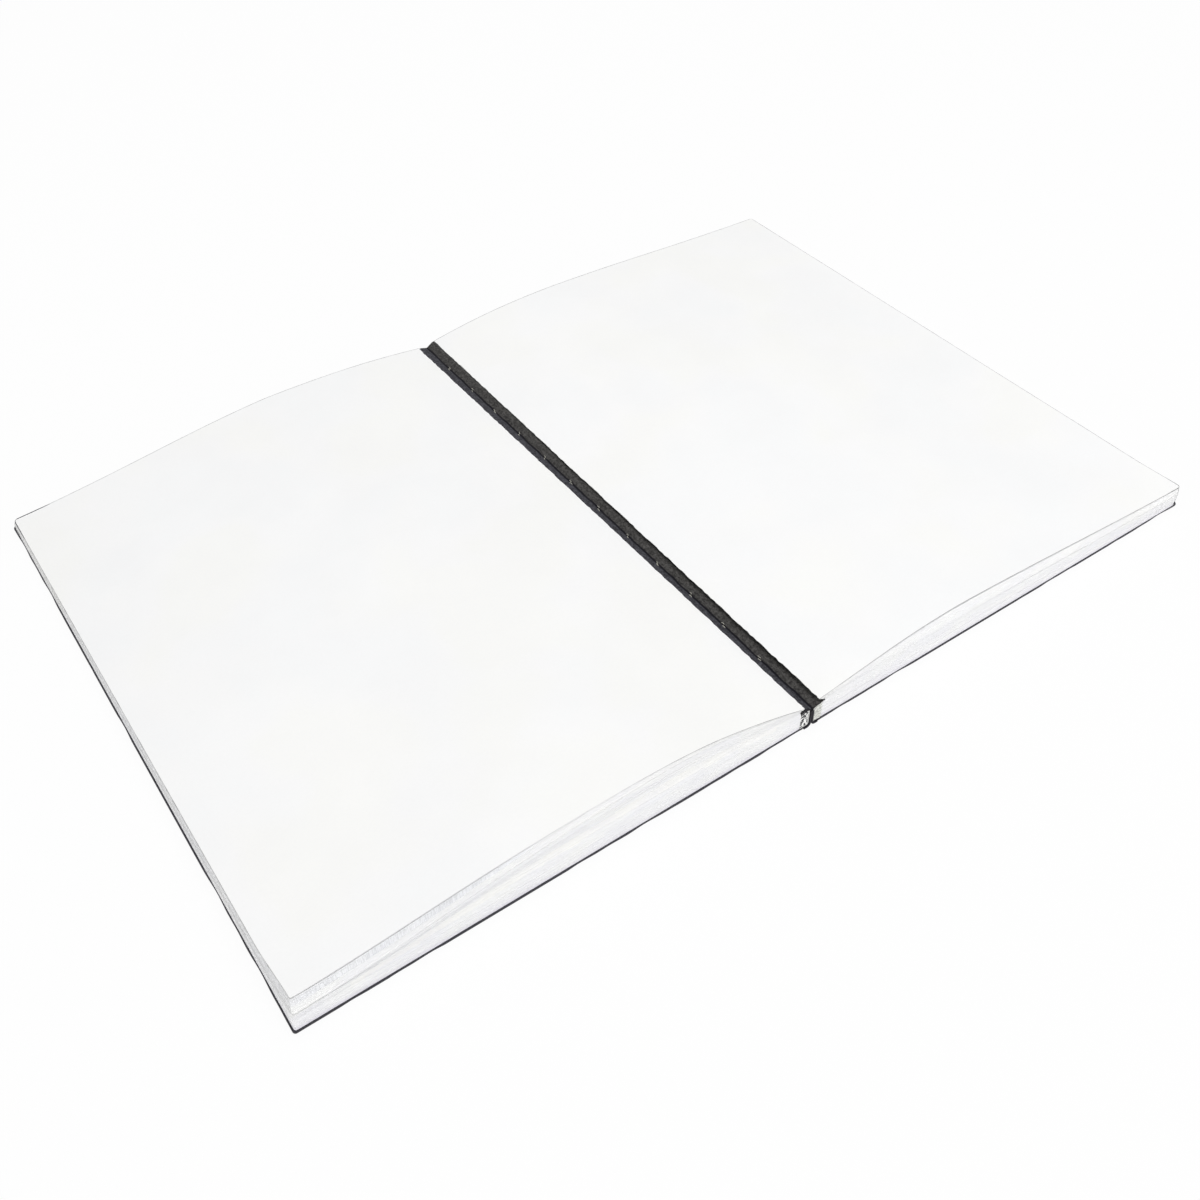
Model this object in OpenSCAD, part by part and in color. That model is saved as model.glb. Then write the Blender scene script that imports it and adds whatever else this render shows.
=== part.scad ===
// Opened sketchbook lying flat on a table. Two lots of white leaves lie on thin black
// covers. A black tape runs down the gutter, the spine cloth is folded up between the lots,
// and the upper leaves of each half spring up in an arch from the gutter to the fore edge.
// Units are millimetres. The origin is on the table, under the middle of the gutter.
// +X runs across the right-hand leaves, +Y runs to the head of the book, +Z is up.

/* [Leaves] */
// Height of a leaf, from foot to head
page_height = 297; // [120:1:420]
// Width of a leaf, from the edge of the lining to the fore edge
page_width = 210; // [90:1:300]
// Height of the flat leaves' top above the table
flat_height = 10.8; // [8:0.1:20]
// How far the fore edge of a flat lot's top lies back from the lowest leaf's
flat_setback = 0.3; // [0.1:0.1:2]
// Rounding of the leaves' corners
page_corner = 2; // [0.5:0.1:8]
// Distance from the gutter at which the flat leaves start to taper
taper_start = 30; // [20:1:120]
// Height of the left flat leaves at the fore edge, at the foot
left_flat_foot = 10.4; // [4:0.1:20]
// Height of the left flat leaves at the fore edge, at the head
left_flat_head = 4.2; // [2:0.1:20]
// Height of the right flat leaves at the fore edge, at the foot
right_flat_foot = 9.2; // [4:0.1:20]
// Height of the right flat leaves at the fore edge, at the head
right_flat_head = 9.9; // [4:0.1:20]

/* [Sprung leaves] */
// Distance of the left arch's crest from the gutter
left_crest = 88; // [40:1:150]
// Height of the left arch's crest, at the foot
left_crest_foot = 26.2; // [15:0.1:50]
// Height of the left arch's crest, at the head
left_crest_head = 16.8; // [12:0.1:50]
// Height of the left top leaf at the fore edge, at the foot
left_edge_foot = 19; // [12:0.1:40]
// Height of the left top leaf at the fore edge, at the head
left_edge_head = 5.4; // [4:0.1:40]
// Distance of the right arch's crest from the gutter
right_crest = 76; // [40:1:150]
// Height of the right arch's crest, at the foot
right_crest_foot = 19.5; // [15:0.1:50]
// Height of the right arch's crest, at the head
right_crest_head = 17.4; // [12:0.1:50]
// Height of the right top leaf at the fore edge, at the foot
right_edge_foot = 10.6; // [9:0.1:40]
// Height of the right top leaf at the fore edge, at the head
right_edge_head = 11.2; // [9:0.1:40]
// Height of the top leaf where it leaves the gutter
leaf_start_height = 11.8; // [11:0.1:20]
// How far the left top leaf's fore edge lies back, at the foot
left_setback_foot = 2.2; // [0.3:0.1:5]
// How far the left top leaf's fore edge lies back, at the head
left_setback_head = 0.4; // [0.3:0.1:5]
// How far the right top leaf's fore edge lies back
right_setback = 0.9; // [0.3:0.1:5]
// Distance of the sprung leaves from the gutter's middle, at the foot
leaf_start_foot = 3.5; // [2.5:0.1:8]
// Distance of the sprung leaves from the gutter's middle, at the head
leaf_start_head = 4.6; // [2.5:0.1:8]

/* [Covers] */
// Thickness of a cover
cover_thickness = 1.2; // [0.6:0.1:4]
// How far a cover reaches past the leaves
cover_overhang = 0.6; // [0:0.1:5]
// Rounding of the cover's outer corners
cover_corner = 2.3; // [0.5:0.1:10]
// Thickness of the paper pasted inside a cover
endpaper_thickness = 0.2; // [0.1:0.05:0.5]
// Margin of cover left bare round the pasted paper
endpaper_margin = 0.8; // [0.3:0.1:5]

/* [Spine] */
// Thickness of the spine cloth
cloth_thickness = 0.8; // [0.4:0.1:2]
// Gap between the two layers of the folded spine cloth
fold_gap = 0.2; // [0.1:0.1:2]
// Inside radius where the spine cloth turns from the fold to a cover
cloth_bend = 1.2; // [0.6:0.1:4]
// Flat part of the spine cloth before a cover's edge
cloth_flange = 1.2; // [0.5:0.1:6]
// Thickness of the white lining round a lot's binding edge
lining_thickness = 0.25; // [0.15:0.05:1]
// How far the lining reaches over the lot
lining_width = 4; // [2.5:0.1:12]
// Rounding of the lining's upper corner
lining_round = 1.5; // [0.8:0.1:3]

/* [Gutter tape] */
// Thickness of the black tape
tape_thickness = 0.4; // [0.2:0.05:1]
// Distance of the tape's edge from the middle of the gutter
tape_reach = 5.6; // [5.4:0.1:20]
// Distance from the gutter's middle at which the tape starts to dip
dip_reach = 3.2; // [1.5:0.1:4]
// Depth of the crease in the tape
dip_depth = 1; // [0.3:0.05:3]

/* [Sewing] */
// Number of stitches that show in the crease
stitch_count = 12; // [3:1:30]
// Distance from one stitch to the next
stitch_pitch = 22; // [8:0.5:40]
// How far the row of stitches lies towards the head
stitch_shift = 4; // [-10:0.5:10]
// Length of a stitch
stitch_length = 2.6; // [1:0.1:12]
// Diameter of the thread
thread_diameter = 0.6; // [0.3:0.05:1.2]

/* [Clearances] */
// Gap between pieces that lie on each other
contact_gap = 0.05; // [0.02:0.01:0.3]
// Gap between the flat leaves and the sprung ones
leaf_gap = 0.1; // [0.05:0.01:0.3]
// Gap beside the folded spine cloth and at a cover's hinge
side_gap = 0.1; // [0.05:0.01:0.5]

/* [Hidden] */
$fn = 64;
columns = 34;
rows = 10;
corner_steps = 4;
taper_cells = 12;

// Across the book, as distances from the gutter's middle
cloth_face = fold_gap / 2 + cloth_thickness;
lining_face = cloth_face + side_gap;
lot_face = lining_face + lining_thickness + contact_gap;
lining_end = lining_face + lining_width;
fore_edge = lining_end + page_width;
cover_fore = fore_edge + cover_overhang;
bend_x = cloth_face + cloth_bend;
flange_end = bend_x + cloth_flange;
cover_edge = flange_end + side_gap;
half_height = page_height / 2;
cover_half = half_height + cover_overhang;
// Longer than anything that is cut
above = page_width;

// Up from the table
lot_bottom = cover_thickness + endpaper_thickness + contact_gap;
bend_z = cover_thickness + cloth_bend;
tape_top = flat_height - contact_gap;
tape_bottom = tape_top - tape_thickness;
lining_top = tape_bottom - contact_gap;
crease_top = tape_top - dip_depth;
crease_bottom = tape_bottom - dip_depth;
fold_top = crease_bottom - side_gap;
low_round = cloth_bend - side_gap;

function mix(a, b, t) = a + (b - a) * t;
function ease(t) = t * t * (3 - 2 * t);
function share(y) = (y + half_height) / page_height;

// An arch rises fast from the gutter, is level at its crest and falls to the fore edge
function rise(s) = 1 - pow(1 - s, 2.3);
function fall(t) = 1 - (t + ease(t)) / 2;
function arch(d, start, crest, crest_z, edge_z) =
    d <= crest
        ? mix(leaf_start_height, crest_z, rise(max(0, (d - start) / (crest - start))))
        : mix(edge_z, crest_z, fall(min(1, (d - crest) / (fore_edge - crest))));

// Each side is [crest distance, crest foot, crest head, edge foot, edge head, flat foot,
// flat head, setback foot, setback head]
left_side = [
    left_crest, left_crest_foot, left_crest_head, left_edge_foot, left_edge_head,
    left_flat_foot, left_flat_head, left_setback_foot, left_setback_head
];
right_side = [
    right_crest, right_crest_foot, right_crest_head, right_edge_foot, right_edge_head,
    right_flat_foot, right_flat_head, right_setback, right_setback
];

function leaf_start(y) = mix(leaf_start_foot, leaf_start_head, share(y));
function leaf_top(side, d, y) =
    mix(
        arch(d, leaf_start_foot, side[0], side[1], side[3]),
        arch(d, leaf_start_head, side[0], side[2], side[4]),
        share(y)
    );
function flat_edge(side, y) = mix(side[5], side[6], share(y));
function setback(side, y) = mix(side[7], side[8], share(y));
function flat_top(side, d, y) =
    mix(
        flat_height,
        flat_edge(side, y),
        max(0, (d - taper_start) / (fore_edge - taper_start))
    );

// Rows of points from foot to head, closer together in the rounded corners
corner_angles = [for (k = [0 : corner_steps]) 90 * k / corner_steps];
row_ends = [for (a = corner_angles) half_height - page_corner * (1 - sin(a))];
foot_rows = [for (k = [corner_steps : -1 : 0]) -row_ends[k]];
span = 2 * row_ends[0];
middle_rows = [for (k = [1 : rows - 1]) -row_ends[0] + span * k / rows];
leaf_rows = concat(foot_rows, middle_rows, row_ends);
function corner_cut(y) =
    let (past = max(0, abs(y) - (half_height - page_corner)))
    page_corner - sqrt(max(0, page_corner * page_corner - past * past));

function along(i) = pow(i / columns, 1.25);
function top_point(side, i, y) =
    let (d = mix(leaf_start(y), fore_edge - setback(side, y) - corner_cut(y), along(i)))
    [d, y, leaf_top(side, d, y)];
function low_point(side, i, y) =
    let (d = mix(leaf_start(y), fore_edge - flat_setback - corner_cut(y), along(i)))
    [d, y, flat_top(side, d, y) + leaf_gap];

// Turns a section drawn in X and Z into a bar that runs along Y
module along_y(length) {
    rotate([90, 0, 0])
        linear_extrude(height = length, center = true)
            children();
}

module to_left() {
    mirror([1, 0, 0])
        children();
}

// A block whose edge next to the gutter is rounded below and above
module rounded_block(x0, x1, z0, z1, low, high) {
    middle = (z0 + z1) / 2;
    wide = max(low, high);
    translate([x0 + low, z0])
        square([x1 - x0 - low, middle - z0]);
    translate([x0 + high, middle])
        square([x1 - x0 - high, z1 - middle]);
    translate([x0, z0 + low])
        square([wide, z1 - z0 - low - high]);
    translate([x0 + low, z0 + low])
        circle(r = low);
    translate([x0 + high, z1 - high])
        circle(r = high);
}

// Everything under the tape, less a drop, so that the lot's edge follows the tape's dip
module under_tape(drop) {
    polygon([
        [0, -above],
        [0, crease_bottom - drop],
        [dip_reach, tape_bottom - drop],
        [above, tape_bottom - drop],
        [above, -above]
    ]);
}

// The outline of a sheet seen from above, with its two outer corners rounded
module sheet_outline(x0, x1, half, corner) {
    translate([x0, -half])
        square([x1 - x0 - corner, 2 * half]);
    translate([x1 - 2 * corner, -half + corner])
        square([2 * corner, 2 * half - 2 * corner]);
    for (y = [-half + corner, half - corner])
        translate([x1 - corner, y])
            circle(r = corner);
}

module cover() {
    linear_extrude(height = cover_thickness)
        sheet_outline(cover_edge, cover_fore, cover_half, cover_corner);
}

module endpaper() {
    translate([0, 0, cover_thickness])
        linear_extrude(height = endpaper_thickness)
            sheet_outline(
                cover_edge + endpaper_margin,
                cover_fore - endpaper_margin,
                cover_half - endpaper_margin,
                page_corner
            );
}

// Everything above the flat leaves' top, from where it tapers to past the fore edge
module above_flat(side) {
    far = fore_edge + page_corner;
    near = taper_start;
    reach = half_height + page_corner;
    n = taper_cells;
    floor_points = [
        for (j = [0 : n], i = [0 : n])
            let (d = mix(near, far, i / n), y = mix(-reach, reach, j / n))
            [d, y, flat_top(side, d, y)]
    ];
    roof_points = [for (p = floor_points) [p[0], p[1], above]];
    count = (n + 1) * (n + 1);
    floor_faces = [
        for (j = [0 : n - 1], i = [0 : n - 1])
            let (a = j * (n + 1) + i, b = a + 1, c = b + n + 1, d = a + n + 1)
            each [[a, b, c], [a, c, d]]
    ];
    roof_faces = [for (f = floor_faces) [f[2] + count, f[1] + count, f[0] + count]];
    foot_faces = [
        for (i = [0 : n - 1])
            each [[i, i + count, i + 1], [i + 1, i + count, i + 1 + count]]
    ];
    head_faces = [
        for (i = [0 : n - 1])
            let (a = n * (n + 1) + i)
            each [[a, a + 1, a + count], [a + 1, a + 1 + count, a + count]]
    ];
    near_faces = [
        for (j = [0 : n - 1])
            let (a = j * (n + 1), b = a + n + 1)
            each [[a, b, a + count], [b, b + count, a + count]]
    ];
    far_faces = [
        for (j = [0 : n - 1])
            let (a = j * (n + 1) + n, b = a + n + 1)
            each [[a, a + count, b], [b, a + count, b + count]]
    ];
    polyhedron(
        points = concat(floor_points, roof_points),
        faces = concat(floor_faces, roof_faces, foot_faces, head_faces, near_faces, far_faces)
    );
}

// The flat lot: stepped for the lining and the tape, its fore edge slanted back
module flat_leaves(side) {
    low = low_round - lining_thickness - contact_gap;
    high = lining_round - lining_thickness - contact_gap;
    under_lining = lining_top - lining_thickness - contact_gap;
    over_lining = lot_bottom + lining_thickness + contact_gap;
    step = lining_end + contact_gap;
    tape_step = tape_reach + contact_gap;
    difference() {
        intersection() {
            along_y(page_height) {
                intersection() {
                    rounded_block(lot_face, step, over_lining, under_lining, low, high);
                    under_tape(tape_bottom - under_lining);
                }
                polygon([
                    [step, lot_bottom],
                    [fore_edge, lot_bottom],
                    [fore_edge - flat_setback, flat_height],
                    [tape_step, flat_height],
                    [tape_step, tape_bottom - contact_gap],
                    [step, tape_bottom - contact_gap]
                ]);
            }
            linear_extrude(height = above)
                sheet_outline(0, fore_edge, half_height, page_corner);
        }
        above_flat(side);
    }
}

// The sprung leaves as one solid between the flat lot and the top leaf
module sprung_leaves(side) {
    n = columns + 1;
    m = len(leaf_rows);
    tops = [for (y = leaf_rows, i = [0 : columns]) top_point(side, i, y)];
    lows = [for (y = leaf_rows, i = [0 : columns]) low_point(side, i, y)];
    count = n * m;
    top_faces = [
        for (j = [0 : m - 2], i = [0 : n - 2])
            let (a = j * n + i, b = a + 1, c = b + n, d = a + n)
            each [[c, b, a], [d, c, a]]
    ];
    low_faces = [for (f = top_faces) [f[2] + count, f[1] + count, f[0] + count]];
    foot_faces = [
        for (i = [0 : n - 2])
            each [[i, i + 1, i + count], [i + 1, i + 1 + count, i + count]]
    ];
    head_faces = [
        for (i = [0 : n - 2])
            let (a = (m - 1) * n + i)
            each [[a, a + count, a + 1], [a + 1, a + count, a + 1 + count]]
    ];
    gutter_faces = [
        for (j = [0 : m - 2])
            let (a = j * n, b = a + n)
            each [[a, a + count, b], [b, a + count, b + count]]
    ];
    fore_faces = [
        for (j = [0 : m - 2])
            let (a = j * n + n - 1, b = a + n)
            each [[a, b, a + count], [b, b + count, a + count]]
    ];
    polyhedron(
        points = concat(tops, lows),
        faces = concat(top_faces, low_faces, foot_faces, head_faces, gutter_faces, fore_faces)
    );
}

module lining() {
    low = low_round - lining_thickness;
    high = lining_round - lining_thickness;
    along_y(page_height)
        difference() {
            intersection() {
                rounded_block(
                    lining_face, lining_end, lot_bottom, lining_top, low_round, lining_round
                );
                under_tape(contact_gap);
            }
            intersection() {
                rounded_block(
                    lining_face + lining_thickness,
                    lining_end + lining_thickness,
                    lot_bottom + lining_thickness,
                    lining_top - lining_thickness,
                    low,
                    high
                );
                under_tape(contact_gap + lining_thickness);
            }
        }
}

// A quarter of a ring in one corner, for the turn from the fold to a cover
module quarter_turn() {
    difference() {
        circle(r = cloth_bend + cloth_thickness);
        circle(r = cloth_bend);
        translate([0, -above / 2])
            square([above, above]);
        translate([-above / 2, 0])
            square([above, above]);
    }
}

module half_spine_section() {
    round_z = fold_top - cloth_face;
    translate([fold_gap / 2, bend_z])
        square([cloth_thickness, round_z - bend_z]);
    translate([bend_x, bend_z])
        quarter_turn();
    translate([bend_x, cover_thickness - cloth_thickness])
        square([cloth_flange, cloth_thickness]);
    translate([0, round_z])
        difference() {
            circle(r = cloth_face);
            circle(r = fold_gap / 2);
            translate([-above, -above / 2])
                square([above, above]);
            translate([-above / 2, -above])
                square([above, above]);
        }
}

module left_cover() {
    color("#1b1a1f")
        to_left()
            cover();
}

module right_cover() {
    color("#1b1a1f")
        cover();
}

module left_endpaper() {
    color("#efeeea")
        to_left()
            endpaper();
}

module right_endpaper() {
    color("#efeeea")
        endpaper();
}

module left_pages() {
    color("#dcdce0")
        to_left()
            flat_leaves(left_side);
}

module right_pages() {
    color("#dcdce0")
        flat_leaves(right_side);
}

module left_leaves() {
    color("#f4f4f0")
        to_left()
            sprung_leaves(left_side);
}

module right_leaves() {
    color("#f4f4f0")
        sprung_leaves(right_side);
}

module left_lining() {
    color("#e6e5e0")
        to_left()
            lining();
}

module right_lining() {
    color("#e6e5e0")
        lining();
}

module gutter_tape() {
    color("#2b2b2f")
        along_y(page_height)
            polygon([
                [-tape_reach, tape_top],
                [-dip_reach, tape_top],
                [0, crease_top],
                [dip_reach, tape_top],
                [tape_reach, tape_top],
                [tape_reach, tape_bottom],
                [dip_reach, tape_bottom],
                [0, crease_bottom],
                [-dip_reach, tape_bottom],
                [-tape_reach, tape_bottom]
            ]);
}

module spine_cloth() {
    color("#222126")
        along_y(2 * cover_half) {
            half_spine_section();
            mirror([1, 0])
                half_spine_section();
        }
}

// Short stitches lie in the crease, one after the other
module sewing_thread() {
    radius = thread_diameter / 2;
    slope = atan(dip_depth / dip_reach);
    seat = crease_top + (radius + contact_gap) / cos(slope);
    straight = stitch_length - thread_diameter;
    first = stitch_shift - stitch_pitch * (stitch_count - 1) / 2;
    color("#d9d7cf")
        for (k = [0 : stitch_count - 1])
            translate([0, first + k * stitch_pitch, seat]) {
                rotate([90, 0, 0])
                    cylinder(h = straight, r = radius, center = true);
                for (end = [-straight / 2, straight / 2])
                    translate([0, end, 0])
                        sphere(r = radius);
            }
}

left_cover();
right_cover();
left_endpaper();
right_endpaper();
left_pages();
right_pages();
left_leaves();
right_leaves();
left_lining();
right_lining();
gutter_tape();
spine_cloth();
sewing_thread();
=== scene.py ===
"""The looks of an opened sketchbook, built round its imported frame."""

import math
import random

import bmesh
import bpy
from mathutils import Matrix, Vector


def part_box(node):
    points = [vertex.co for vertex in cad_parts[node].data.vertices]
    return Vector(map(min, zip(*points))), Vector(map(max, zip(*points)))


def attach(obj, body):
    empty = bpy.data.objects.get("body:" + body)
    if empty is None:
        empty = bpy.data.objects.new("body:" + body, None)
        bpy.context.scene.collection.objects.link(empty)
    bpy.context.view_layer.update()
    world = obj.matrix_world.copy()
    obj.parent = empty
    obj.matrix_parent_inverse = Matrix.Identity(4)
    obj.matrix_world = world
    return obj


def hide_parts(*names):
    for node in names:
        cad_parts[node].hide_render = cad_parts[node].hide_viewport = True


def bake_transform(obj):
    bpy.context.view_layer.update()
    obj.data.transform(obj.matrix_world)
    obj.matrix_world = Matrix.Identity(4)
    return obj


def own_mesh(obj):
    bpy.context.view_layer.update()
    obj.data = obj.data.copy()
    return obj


bl_info = {
    "name": "Opened Sketchbook",
    "version": (1, 0, 0),
    "blender": (4, 5, 0),
    "location": "View3D > Sidebar > Sketchbook",
    "description": "Builds the leaves, covers, spine and sewing of an opened sketchbook",
    "category": "Object",
}

MM = 0.001
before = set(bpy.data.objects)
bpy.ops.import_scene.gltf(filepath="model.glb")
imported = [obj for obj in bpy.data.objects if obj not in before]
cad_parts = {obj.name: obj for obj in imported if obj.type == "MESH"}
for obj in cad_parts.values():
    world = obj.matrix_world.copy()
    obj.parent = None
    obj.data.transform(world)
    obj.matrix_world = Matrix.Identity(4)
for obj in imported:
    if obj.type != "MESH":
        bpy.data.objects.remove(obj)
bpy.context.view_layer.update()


def box_mm(node):
    """The lowest and highest corners of a node of the frame, in millimetres."""
    low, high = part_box(node)
    return [v / MM for v in low], [v / MM for v in high]


PAGES_LOW, PAGES_HIGH = box_mm("right_pages")
COVER_LOW, COVER_HIGH = box_mm("right_cover")
TAPE_HIGH = box_mm("gutter_tape")[1]
CLOTH_HIGH = box_mm("spine_cloth")[1]
LINING_HIGH = box_mm("right_lining")[1]
THREAD_LOW, THREAD_HIGH = box_mm("sewing_thread")

FORE_EDGE = PAGES_HIGH[0]
HALF_HEIGHT = PAGES_HIGH[1]
LOT_BOTTOM = PAGES_LOW[2]
FLAT_HEIGHT = PAGES_HIGH[2]
LOT_FACE = PAGES_LOW[0]

LEAF = 0.16  # thickness of a top leaf
CUT = 0.16  # most that the cut edge of one layer lies behind another's
UNDER = 0.2  # from the top leaf's upper face to the layer below it
CLOSED_TOP = 11.03  # height of the top leaves when the book is closed
COVER_CORNERS = (1.1, 2.3)  # rounding at the foot and at the head
FLOOR_MATT = (0.92, 0.92, 0.92, 1)
FLOOR_PLAIN = 0.94  # part of the floor's tone that no light changes

# Materials of a layer of leaves, in the order of its slots
# The cream and open slots are painted highlights, and the last slot paints shade on the top leaf's
# rim.
PAGE, EDGE, CREAM_HIGHLIGHT, OPEN_HIGHLIGHT, FANNED, RIM_SHADE = range(6)


# ---------------------------------------------------------------- sizes and colours


def length(name, description, default_mm):
    return bpy.props.FloatProperty(
        name=name, description=description, default=default_mm * MM, unit="LENGTH", precision=5
    )


def number(name, description, default):
    return bpy.props.FloatProperty(name=name, description=description, default=default)


def count(name, description, default):
    return bpy.props.IntProperty(name=name, description=description, default=default, min=1)


def colour(name, description, default):
    return bpy.props.FloatVectorProperty(
        name=name, description=description, default=default, subtype="COLOR", min=0, max=1
    )


class SketchbookLeaves(bpy.types.PropertyGroup):
    """Sizes of the flat and the sprung leaves"""

    lot_layers: count("Layers in a lot", "Layers of leaves that show in each flat lot", 32)
    left_layers: count("Left layers", "Layers in the left sprung leaves", 36)
    right_layers: count("Right layers", "Layers in the right sprung leaves", 22)
    left_corner_foot: length("Left corner, foot", "Rounding of the leaves' corners", 0.9)
    left_corner_head: length("Left corner, head", "Rounding of the leaves' corners", 2.2)
    right_corner_foot: length("Right corner, foot", "Rounding of the leaves' corners", 1.5)
    right_corner_head: length("Right corner, head", "Rounding of the leaves' corners", 1.5)
    lot_setback: length("Lot setback", "How far a lot's top leaf lies back", 0.3)
    left_setback_foot: length("Left setback, foot", "How far the top leaf lies back", 2.2)
    left_setback: length("Left setback", "How far the top leaf lies back", 1.15)
    left_setback_head: length("Left setback, head", "How far the top leaf lies back", 0.9)
    right_setback_foot: length("Right setback, foot", "How far the top leaf lies back", 0.1)
    right_setback: length("Right setback", "How far the top leaf lies back", 0.9)
    right_setback_head: length("Right setback, head", "How far the top leaf lies back", 0.9)
    left_crest: length("Left crest", "Distance of the left arch's crest from the gutter", 88)
    left_crest_foot: length("Left crest, foot", "Height of the left crest at the foot", 26.1)
    left_crest_head: length("Left crest, head", "Height of the left crest at the head", 16.8)
    left_edge_foot: length("Left edge, foot", "Height of the left top leaf's fore edge", 19.0)
    left_edge_head: length("Left edge, head", "Height of the left top leaf's fore edge", 4.5)
    right_crest: length("Right crest", "Distance of the right arch's crest from the gutter", 76)
    right_crest_foot: length("Right crest, foot", "Height of the right crest at the foot", 19.4)
    right_crest_head: length("Right crest, head", "Height of the right crest at the head", 17.4)
    right_edge_foot: length("Right edge, foot", "Height of the right top leaf's fore edge", 10.6)
    right_edge_head: length("Right edge, head", "Height of the right top leaf's fore edge", 11.1)
    start_foot: length("Start, foot", "Distance of the sprung leaves from the gutter", 3.5)
    start_head: length("Start, head", "Distance of the sprung leaves from the gutter", 4.6)


class SketchbookSpine(bpy.types.PropertyGroup):
    """Sizes of the tape, the spine cloth and the sewing"""

    dip_reach: length("Dip reach", "Distance from the middle at which the tape dips", 3.2)
    dip_foot: length("Dip, foot", "Depth of the crease at the foot", 0.8)
    dip_head: length("Dip, head", "Depth of the crease at the head", 1.1)
    tape_thickness: length("Tape thickness", "Thickness of the woven tape", 0.4)
    cloth_thickness: length("Cloth thickness", "Thickness of the spine cloth", 0.8)
    fold_gap: length("Fold gap", "Gap between the layers of the folded cloth", 0.2)
    cloth_bend: length("Cloth bend", "Inside radius of the cloth's turn to a cover", 1.2)
    stitches: count("Stitches", "Stitches that show in the crease", 12)
    stitch_length: length("Stitch length", "Length of a stitch", 2.6)
    thread: length("Thread", "Diameter of the thread", 0.6)


class SketchbookColours(bpy.types.PropertyGroup):
    """Colours of the sketchbook's pieces"""

    page: colour("Page", "Face of a leaf", (0.911, 0.911, 0.909))
    edge: colour("Leaf edge", "Cut edges of the leaves", (0.915, 0.916, 0.922))
    # Painted highlight: paler, warmer edges where the hollow at the foot catches the light.
    cream: colour("Lit edge", "Cut edges in the hollow of the foot", (0.95, 0.945, 0.932))
    # Painted highlight: paler than the page, as where the parting leaves' edges face up into the
    # light.
    open_edge: colour("Open edge", "Cut edges of the leaves that part", (0.985, 0.985, 0.98))
    fanned: colour("Fanned edge", "Cut edges of the leaves that fan out", (0.93, 0.935, 0.955))
    # The rim colour is painted shade: a grey outline along the top leaf's edge.
    rim: colour("Rim", "Rim of the top leaf", (0.5, 0.5, 0.5))
    # The fold colour is painted shade between the section folds.
    fold: colour("Section folds", "Folded ends of the sections", (0.6, 0.61, 0.57))
    lining: colour("Lining", "Paper lining of the lots", (0.9, 0.9, 0.89))
    endpaper: colour("Endpaper", "Paper pasted inside the covers", (0.86, 0.86, 0.84))
    cover: colour("Cover", "Imitation leather of the covers", (0.012, 0.011, 0.018))
    tape: colour("Tape", "Woven tape in the gutter", (0.045, 0.045, 0.046))
    cloth: colour("Spine cloth", "Cloth of the spine", (0.016, 0.015, 0.02))
    thread: colour("Thread", "Sewing thread", (0.5, 0.49, 0.43))
    floor: colour("Floor", "Surface that the sketchbook lies on", (0.994, 0.994, 0.994))


class SketchbookStage(bpy.types.PropertyGroup):
    """The camera and the light"""

    azimuth: number("Azimuth", "Camera's turn from the front, in degrees", -33.1513)
    elevation: number("Elevation", "Camera's height above the floor, in degrees", 45.205)
    roll: number("Roll", "Camera's roll, in degrees", -2.1)
    distance: length("Distance", "Camera's distance from its target", 541.8651)
    target_x: length("Target X", "Where the camera looks", -26.4495)
    target_y: length("Target Y", "Where the camera looks", -45.8007)
    focal: number("Focal length", "In millimetres on a 36 mm sensor", 38.5879)
    sky: number("Sky", "Strength of the even light", 0.5)
    top_light: number("Top light", "Power of the softbox overhead, in watts", 20.0)
    front_light: number("Front light", "Power of the softbox in front, in watts", 6.3)
    left_light: number("Left light", "Power of the softbox at the left, in watts", 5.6)
    floor_size: length("Floor size", "Side of the floor", 8000)


# ---------------------------------------------------------------- shapes of the leaves


def mix(a, b, t):
    return a + (b - a) * t


def clamp(value, low, high):
    return max(low, min(high, value))


def ease(t):
    t = clamp(t, 0.0, 1.0)
    return t * t * (3 - 2 * t)


def on_circle(x, z, radius, degrees):
    angle = math.radians(degrees)
    return (x + radius * math.cos(angle), z + radius * math.sin(angle))


def share(y):
    """0 at the foot of a leaf and 1 at its head."""
    return clamp((y + HALF_HEIGHT) / (2 * HALF_HEIGHT), 0.0, 1.0)


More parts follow.
